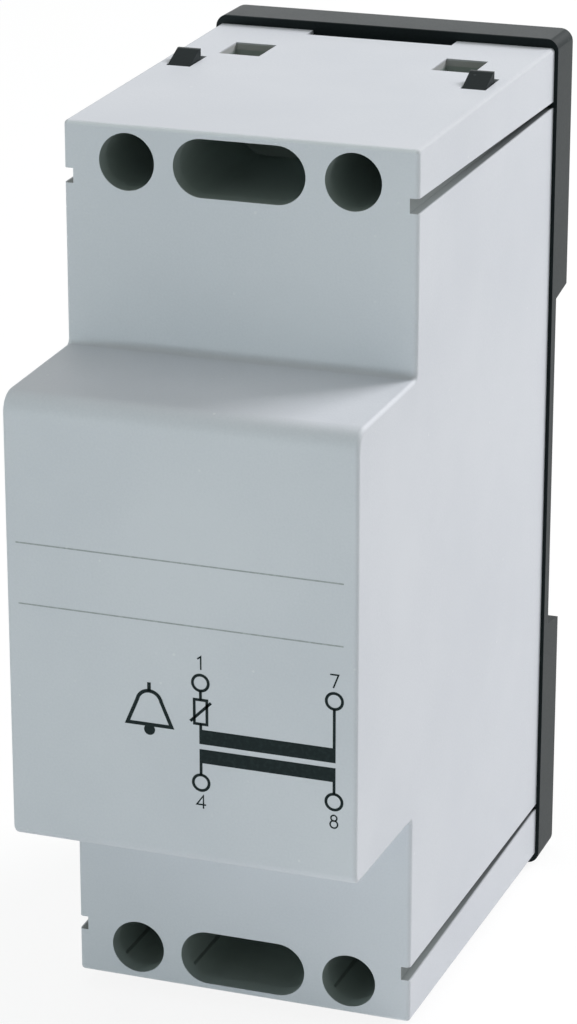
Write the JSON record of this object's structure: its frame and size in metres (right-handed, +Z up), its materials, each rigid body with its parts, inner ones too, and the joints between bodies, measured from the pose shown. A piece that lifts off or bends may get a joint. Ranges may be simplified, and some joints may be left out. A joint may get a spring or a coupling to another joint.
{
  "type": "doorbell transformer",
  "caption": "Rail-mounted doorbell transformer: stepped grey hood on a black base with a rail catch, screw terminals behind round holes and a laminated core with a split coil inside.",
  "frame": {"origin": "middle of the rail seat, on the floor of the recess for the rail", "axes": "+Z up along the height, +Y to the rear through the rail, +X to the right seen from the front"},
  "size_m": [0.0366, 0.0643, 0.0904],
  "materials": {
    "hood_plastic": "fine moulded texture",
    "base_plastic": "fine moulded texture",
    "guide_plastic": "moulded",
    "spring_steel": "drawn wire",
    "screw_steel": "zinc plated",
    "cage_steel": "zinc plated",
    "contact_brass": "rolled strip",
    "core_steel": "lamination edges",
    "bobbin_plastic": "moulded",
    "enamelled_wire": "enamelled copper",
    "wrap_film": "film",
    "thermistor_coating": "dipped coating",
    "lead_sleeve": "extruded sleeve"
  },
  "bodies": {
    "housing": {"housing_hood": "hood_plastic", "rear_base": "base_plastic", "slide_spring": "spring_steel", "terminal_block_top": "guide_plastic", "terminal_block_bottom": "guide_plastic", "contact_bar_1": "contact_brass", "contact_bar_7": "contact_brass", "contact_bar_4": "contact_brass", "contact_bar_8": "contact_brass", "core_e_stack": "core_steel", "core_i_stack": "core_steel", "bobbin": "bobbin_plastic", "primary_winding": "enamelled_wire", "secondary_winding": "enamelled_wire", "primary_tape": "wrap_film", "secondary_tape": "wrap_film", "thermistor": "thermistor_coating", "primary_lead_1": "lead_sleeve", "primary_lead_7": "lead_sleeve", "secondary_lead_4": "lead_sleeve", "secondary_lead_8": "lead_sleeve"},
    "screw_1": {"terminal_screw_1": "screw_steel"},
    "cage_1": {"terminal_cage_1": "cage_steel"},
    "screw_7": {"terminal_screw_7": "screw_steel"},
    "cage_7": {"terminal_cage_7": "cage_steel"},
    "screw_4": {"terminal_screw_4": "screw_steel"},
    "cage_4": {"terminal_cage_4": "cage_steel"},
    "screw_8": {"terminal_screw_8": "screw_steel"},
    "cage_8": {"terminal_cage_8": "cage_steel"},
    "rail_catch": {"rail_slide": "base_plastic"}
  },
  "joints": [
    {"name": "screw_1_turn", "type": "hinge", "parent": "housing", "child": "screw_1", "pos_m": [-0.0111, -0.0227, 0.0403], "axis": [0, 1, 0], "range_deg": [0, 2406]},
    {"name": "cage_1_rise", "type": "slide", "parent": "housing", "child": "cage_1", "axis": [0, -1, 0], "range_m": [0, 0.004]},
    {"name": "screw_7_turn", "type": "hinge", "parent": "housing", "child": "screw_7", "pos_m": [0.0111, -0.0227, 0.0403], "axis": [0, 1, 0], "range_deg": [0, 2406]},
    {"name": "cage_7_rise", "type": "slide", "parent": "housing", "child": "cage_7", "axis": [0, -1, 0], "range_m": [0, 0.004]},
    {"name": "screw_4_turn", "type": "hinge", "parent": "housing", "child": "screw_4", "pos_m": [-0.0111, -0.0227, -0.0403], "axis": [0, 1, 0], "range_deg": [0, 2406]},
    {"name": "cage_4_rise", "type": "slide", "parent": "housing", "child": "cage_4", "axis": [0, -1, 0], "range_m": [0, 0.004]},
    {"name": "screw_8_turn", "type": "hinge", "parent": "housing", "child": "screw_8", "pos_m": [0.0111, -0.0227, -0.0403], "axis": [0, 1, 0], "range_deg": [0, 2406]},
    {"name": "cage_8_rise", "type": "slide", "parent": "housing", "child": "cage_8", "axis": [0, -1, 0], "range_m": [0, 0.004]},
    {"name": "catch_slide", "type": "slide", "parent": "housing", "child": "rail_catch", "axis": [0, 0, -1], "range_m": [0, 0.003], "stiffness_N_per_m": 800, "springref_m": -0.003, "deforming": ["slide_spring"]}
  ],
  "couplings": [
    {"joint": "screw_1_turn", "follows": "cage_1_rise", "rad_per_m": 10472},
    {"joint": "screw_7_turn", "follows": "cage_7_rise", "rad_per_m": 10472},
    {"joint": "screw_4_turn", "follows": "cage_4_rise", "rad_per_m": 10472},
    {"joint": "screw_8_turn", "follows": "cage_8_rise", "rad_per_m": 10472}
  ]
}
